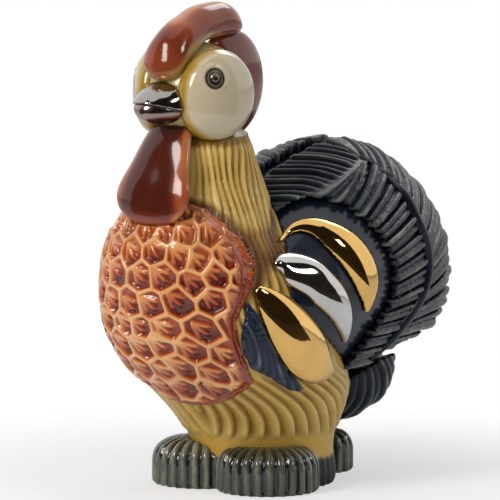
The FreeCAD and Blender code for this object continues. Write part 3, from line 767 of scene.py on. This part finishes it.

# %% [markdown]
# The wattle is a broad flap, dished in its middle by a thumb. Its glaze is nearly black in the middle
# and lighter and more orange towards the edges, partly its own colour and partly painted highlight.
# So the relief layer grows towards both sides, by the share of the flap's half width, and again towards
# its lower edge.

# %% Wattle
flap = clay_copy("wattle_glazed", "wattle", 0.35, 6)
p = points_of(flap.data)
p[:, 0] *= 1.1
set_points(flap, p)
half_width = np.interp(p[:, 2], [56, 60, 66, 75], [7.0, 8.6, 7.4, 5.0])
# Lighter, more orange edges: partly the glaze's own colour and partly painted highlight.
rim = smooth(0.62, 0.98, np.abs(p[:, 0]) / half_width) + smooth(60.5, 57.5, p[:, 2]) * 0.7
dish = np.exp(-(p[:, 0] / 5.0) ** 2 - ((p[:, 2] - 66) / 6.5) ** 2) * (p[:, 1] < -26)
press(flap, 0.12 * wobble(p, 3, 6) - 0.5 * dish, 0.10 + 0.72 * rim + 0.1 * wobble(p, 2.5, 1))
dress(flap, "wattle", chestnut)

# %% [markdown]
# Between the lustre feathers lies a smooth, nearly black ground that joins wing and tail. It must
# recede, so it is satin, has little shine, and sits a hair deeper than its clay form.

# %% Dark ground
dark = glaze("dark_glaze", [(0.0, (0.003, 0.004, 0.009)), (0.5, (0.006, 0.010, 0.020)),
                            (1.0, (0.026, 0.034, 0.046))], rough=0.3, coat=0.4, mottle=0.25, gleam=0.25)
ground = clay_copy("dark_ground", "tail_shell", 0.6)
p = points_of(ground.data)
press(ground, 0.12 * wobble(p, 3.5, 5) - 0.15, 0.42 + 0.3 * wobble(p, 4, 11))
dress(ground, "tail_shell", dark)

# %% [markdown]
# Three lobes on each wing and the far edge of the tail carry gold and platinum. They keep their plain
# domes, because a mirror film shows every dent: only the polish varies.

# %% Lustre feathers
for side in ("left", "right"):
    film_over(side + "_upper_gold_feather", gold, 0.3, 8)
    film_over(side + "_platinum_feather", platinum, 0.3, 8)
    film_over(side + "_lower_gold_feather", gold, 0.3, 8)
film_over("edge_feather", gold, 0.35, 6)

# %% [markdown]
# The tail takes the most skill. Barbs fan out from the wing across the inner vane, a smooth rib
# bounds them, and more barbs climb the outer vane. A single wave could not turn like that. So lines
# are drawn as seen from the side, from each place on the inner vane's front edge to its partner on
# the rib, and from the rib outwards over the outer vane, steep at the top and nearly level at the
# foot. Each point of a vane takes the number of the line that is nearest to it.

# %% Barb lines of the tail
# place along the bird and height, in mm
FRONT_EDGE = np.array([(-11, 57), (-5.2, 59.3), (-1.4, 60), (2.2, 59.6), (5.1, 57.9), (7.4, 55.4),
                       (9.6, 52.8), (11.6, 49.2), (13.2, 45.8), (13.6, 42.2), (12.8, 38), (10.4, 35.2),
                       (7.6, 32.4), (5.2, 28), (3.6, 24)])
RIB = np.array([(18.2, 65.4), (19.6, 64.9), (22.6, 62.8), (24, 58.6), (25.8, 54.2), (28.2, 49.6),
                (30.4, 45.2), (30.8, 40.8), (28.8, 36.6), (24.8, 32.8), (20.2, 29), (16.4, 25.8),
                (14.4, 23.6)])
BARBS = 26


def along(path, share):
    """The places at these shares of a path's length."""
    steps = np.concatenate([[0], np.cumsum(np.linalg.norm(np.diff(path, axis=0), axis=1))])
    want = np.clip(share, 0, 1) * steps[-1]
    return np.stack([np.interp(want, steps, path[:, 0]), np.interp(want, steps, path[:, 1])], 1)


def nearest_barb(p, starts, ends, shares):
    """The share of the fan, 0 to 1, of the barb line that is nearest to each point."""
    best, found = np.full(len(p), 1e9), np.zeros(len(p))
    flat = p[:, 1:]
    for a, b, share in zip(starts, ends, shares):
        run = np.clip((flat - a) @ (b - a) / ((b - a) @ (b - a)), 0, 1)
        gap = np.linalg.norm(flat - a - run[:, None] * (b - a), axis=1)
        closer = gap < best
        best[closer], found[closer] = gap[closer], share
    return found


shares = np.linspace(-0.06, 1.06, 360)
rib_side = along(RIB, shares)
barb_way = np.stack([np.full(len(shares), 26.0), 20 - 26 * shares], 1)  # mm back and up
inner_lines = (along(FRONT_EDGE, 0.25 + 0.72 * shares), along(RIB, shares - 0.04), shares)
outer_lines = (rib_side, rib_side + barb_way, shares)
print("rib length in mm", np.linalg.norm(np.diff(RIB, axis=0), axis=1).sum().round(1))

# %% [markdown]
# Over the crown of the tail the barbs are shorter and lean forward. A long barb parts the crown from
# the side. So the inner vane's pattern is chosen by the height over that barb.

# %% Crown of the tail
def over_top(p):
    """Height in mm above the long barb that parts the side of the vane from its crown."""
    (front, low), (rear, high) = (-3.4, 59.6), (18.2, 65.4)
    return p[:, 2] - (low + (p[:, 1] - front) * (high - low) / (rear - front))


def inner_phase(p):
    """Barbs across the side, and shorter ones that lean forward over the crown."""
    across = np.abs(p[:, 0])
    crown_pitch = 2.3  # mm from barb to barb
    crown = (p[:, 1] + 0.6 * (22 - across) + 0.5 * np.sin(across / 3)) / crown_pitch
    return np.where((over_top(p) > 0) | (p[:, 1] < -4), crown, BARBS * nearest_barb(p, *inner_lines))


print("the rib's top lies", over_top(np.array([[0, *RIB[0]]])).round(2), "mm over the long barb")

# %% [markdown]
# The plumes are simpler: their barbs spread like a hand fan from one point outside the piece. A
# phase that grows by one from barb to barb is the angle round that point. The near wing plume is
# also drawn forward round the body, until it meets the breast panel.

# %% Fans of the plumes
def fan_phase(p, middle, step, swirl=0):
    """Barbs that fan out round a middle point, step degrees apart, bent a little as they go out."""
    back_off, height = p[:, 1] - middle[0], p[:, 2] - middle[1]
    return np.degrees(np.arctan2(height, back_off)) / step + np.hypot(back_off, height) * swirl


def pull_forward(p):
    """The front half of the wing plume, turned round the body by up to 6.5 degrees."""
    angle, reach = round_body(p)
    heights, edge = [22, 26.2, 30.2, 34.8, 38.6, 41.6], [-14.5, -20.4, -24.1, -26.4, -28.0, -29.0]
    front_part = 1 - smooth(-0.3, 4.2, p[:, 1] - np.interp(p[:, 2], heights, edge))
    pull = 6.5 * front_part * smooth(24, 28, p[:, 2]) * (1 - smooth(32, 41, p[:, 2]))
    turned = np.radians(angle - pull)
    return np.stack([np.sin(turned) * reach, middle_line(p) - np.cos(turned) * reach, p[:, 2]], 1)


PATTERNS = {
    "inner_vane": inner_phase,
    "outer_vane": lambda p: BARBS * nearest_barb(p, *outer_lines),
    "lower_plume": lambda p: fan_phase(p, (12.0, 38.0), 6.5, 0.03),
    "wing_plume": lambda p: fan_phase(p, (-32.5, 47), 3.3) + 0.2 * np.sin(p[:, 2] / 3.0),
}
print("patterns", list(PATTERNS))

# %% [markdown]
# The tail's glaze is a blue-black that breaks to grey green on the barbs, and the wing plume's is
# bluer. Both have hardly any coat: a shiny coat would mirror the white room and turn them grey.

# %% Glazes of tail and plumes
tail_green = glaze("tail_glaze", [(0.0, (0.003, 0.005, 0.009)), (0.5, (0.008, 0.013, 0.022)),
                                  (0.78, (0.030, 0.038, 0.037)), (1.0, (0.155, 0.165, 0.135))],
                   rough=0.34, coat=0.15, mottle=0.16, bump=0.1, gleam=0.15)
plume_blue = glaze("plume_glaze", [(0.0, (0.004, 0.007, 0.018)), (0.5, (0.012, 0.020, 0.044)),
                                   (0.8, (0.034, 0.044, 0.066)), (1.0, (0.13, 0.15, 0.18))],
                   rough=0.32, coat=0.2, mottle=0.12, bump=0.1, gleam=0.2)
print("glazes", tail_green.name, plume_blue.name)

# %% [markdown]
# The clay vanes already carry their main grooves. The copies get the fine barbs: each ridge has a
# height of its own, a wobble keeps the rows from looking machined, and the wave is both the cut and
# the relief for the glaze. The rib between the vanes stays smooth.

# %% Carve the tail
def carve_barbs(side, kind):
    part = side + "_" + kind
    made = clay_copy(part + "_barbs", part, 0.32, 9)
    p = points_of(made.data)
    if part == "left_wing_plume":
        p = pull_forward(p)
        set_points(made, p)
        made.data.update()
    way = normals_of(made.data)
    phase = PATTERNS[kind](p) + 0.16 * wobble(p, 4, 21)
    own_height = 0.78 + 0.22 * np.sin(2.4 * np.floor(phase) + 1.3)
    wave = ridges(phase, 0.75) * own_height + 0.05 * wobble(p, 0.7, 33)
    shown = smooth(0.0, 0.25, np.abs(way[:, 0]) + np.abs(way[:, 1]) * 0.5 + np.clip(way[:, 2], 0, 1))
    if kind == "inner_vane":
        shown *= smooth(0.1, 0.8, np.abs(over_top(p)))
    is_plume = kind == "wing_plume"
    barb_cut = 0.7 if is_plume else 1.2  # mm
    press(made, (wave - 0.55) * barb_cut * shown, 0.05 + 0.85 * wave + 0.25 * wobble(p, 2.2, 13))
    dress(made, part, plume_blue if is_plume else tail_green)


for side in ("left", "right"):
    for kind in PATTERNS:
        carve_barbs(side, kind)
    rib = clay_copy(side + "_tail_rib_glazed", side + "_tail_rib", 0.3, 5)
    press(rib, 0, 0.35 + 0.2 * wobble(points_of(rib.data), 2, 3))
    dress(rib, side + "_tail_rib", tail_green)

# %% [markdown]
# Each foot is a pad of clay scored into upright rolls with a loop tool. The rolls stand round the
# middle of the pad, so their number and the bearing from that middle give the phase. They fade at
# the sole, which stands flat, and grow shallow on top, where the pad rounds over.

# %% Feet
foot_green = glaze("foot_glaze", [(0.0, (0.003, 0.004, 0.005)), (0.45, (0.012, 0.015, 0.013)),
                                  (0.75, (0.072, 0.076, 0.055)), (1.0, (0.26, 0.26, 0.19))],
                   rough=0.2, coat=0.8, mottle=0.2, bump=0.1, gleam=0.35)
roll_cut = 0.95  # mm
for part, middle, rolls in (("left_foot", (8.3, -8.6), 26), ("right_foot", (-8.3, -8.6), 26),
                            ("heel", (0, 18.8), 16)):
    made = clay_copy(part + "_rolls", part, 0.32, 9)
    p = points_of(made.data)
    bearing = np.arctan2(p[:, 1] - middle[1], p[:, 0] - middle[0]) / (2 * math.pi)
    wave = ridges(bearing * rolls + 0.12 * wobble(p, 3, 17), 0.65)
    shown = smooth(0.2, 0.8, p[:, 2]) * (1 - 0.4 * smooth(7.5, 9.5, p[:, 2]))
    press(made, (wave - 0.6) * roll_cut * shown, 0.08 + 0.7 * wave + 0.22 * wobble(p, 2.4, 19))
    dress(made, part, foot_green)
